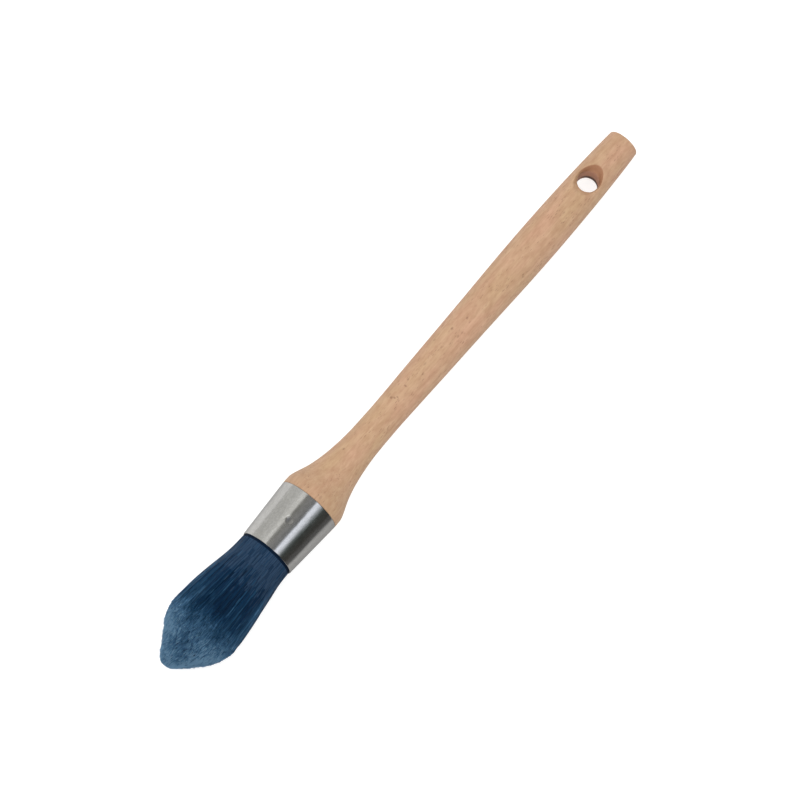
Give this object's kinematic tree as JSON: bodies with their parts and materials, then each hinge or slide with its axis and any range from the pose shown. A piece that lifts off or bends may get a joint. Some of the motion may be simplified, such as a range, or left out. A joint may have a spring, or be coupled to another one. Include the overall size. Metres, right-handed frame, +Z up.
{
  "type": "round paint brush",
  "caption": "Round pointed paint brush: turned beech handle with a hanging hole, tapered metal ferrule and a springy bundle of blue synthetic filaments.",
  "frame": {"origin": "bottom centre of the brush as it lies on a level surface, resting on the belly of the filaments and on the grip", "axes": "+X along the brush from the filament tip to the butt, +Z up; the brush's own axis dips 1.9 degrees towards the butt and lies in the XZ plane"},
  "size_m": [0.265, 0.029, 0.0291],
  "materials": {
    "beech": "fine sanded, unvarnished",
    "nickel_steel": "bright nickel plate on drawn steel",
    "setting_resin": "cured epoxy",
    "core_plug": "plain softwood",
    "filament_navy": "fine tapered synthetic filaments",
    "filament_slate": "trimmed filament tips"
  },
  "bodies": {
    "handle": {"beech_handle": "beech", "ferrule": "nickel_steel", "setting_resin": "setting_resin", "core_plug": "core_plug", "filament_roots": "filament_navy", "filament_neck": "filament_navy"},
    "filaments": {"filament_head": "filament_slate"}
  },
  "joints": [
    {"name": "filament_bend", "type": "hinge", "parent": "handle", "child": "filaments", "pos_m": [-0.08604, 0, 0.0137], "axis": [0.0327, 0, 0.9995], "range_deg": [-22, 22], "stiffness_Nm_per_rad": 0.6, "deforming": ["filament_neck"]}
  ]
}
